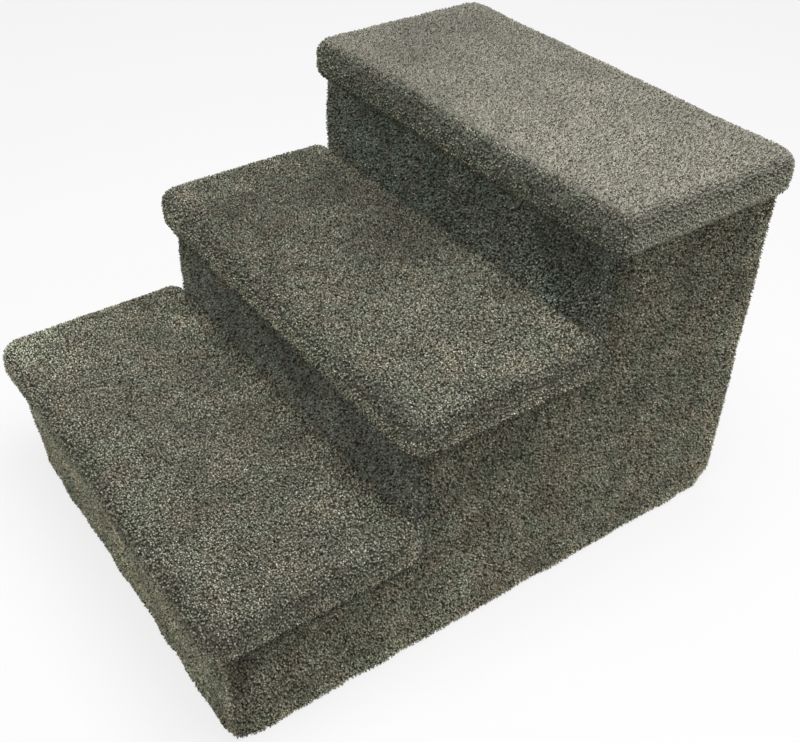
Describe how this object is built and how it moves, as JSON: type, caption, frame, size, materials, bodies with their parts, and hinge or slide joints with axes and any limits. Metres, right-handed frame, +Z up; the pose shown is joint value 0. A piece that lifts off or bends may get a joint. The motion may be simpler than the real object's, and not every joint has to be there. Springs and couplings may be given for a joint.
{
  "type": "pet stairs",
  "caption": "Free-standing carpeted stairs for a pet: a stepped plywood box under cut-pile carpet, with overhanging treads wrapped in the same carpet.",
  "frame": {"origin": "on the floor, under the middle of the whole outline", "axes": "+X to the right of someone facing the stairs to climb them, +Y from the foot of the stairs to the back, +Z up"},
  "size_m": [0.457, 0.5936, 0.394],
  "materials": {
    "carpet": "heathered cut pile, grey-green taupe with pale and dark flecks",
    "plywood": "unfinished plywood, raw edges showing plies",
    "softwood": "planed unfinished pine",
    "zinc_steel": "zinc plated"
  },
  "bodies": {
    "root": {"left_side_panel": "plywood", "right_side_panel": "plywood", "lower_riser_board": "plywood", "middle_riser_board": "plywood", "upper_riser_board": "plywood", "back_panel": "plywood", "lower_tread_board": "plywood", "middle_tread_board": "plywood", "upper_tread_board": "plywood", "front_posts": "softwood", "middle_posts": "softwood", "upper_posts": "softwood", "rear_posts": "softwood", "lower_tread_cleats": "softwood", "middle_tread_cleats": "softwood", "upper_tread_cleats": "softwood", "middle_cross_rail": "softwood", "upper_cross_rail": "softwood", "lower_tread_carpet": "carpet", "middle_tread_carpet": "carpet", "upper_tread_carpet": "carpet", "lower_riser_carpet": "carpet", "middle_riser_carpet": "carpet", "upper_riser_carpet": "carpet", "left_side_carpet": "carpet", "right_side_carpet": "carpet", "back_carpet": "carpet", "side_screws": "zinc_steel", "riser_screws": "zinc_steel", "tread_screws": "zinc_steel", "tread_staples": "zinc_steel", "hem_staples": "zinc_steel"}
  },
  "joints": []
}
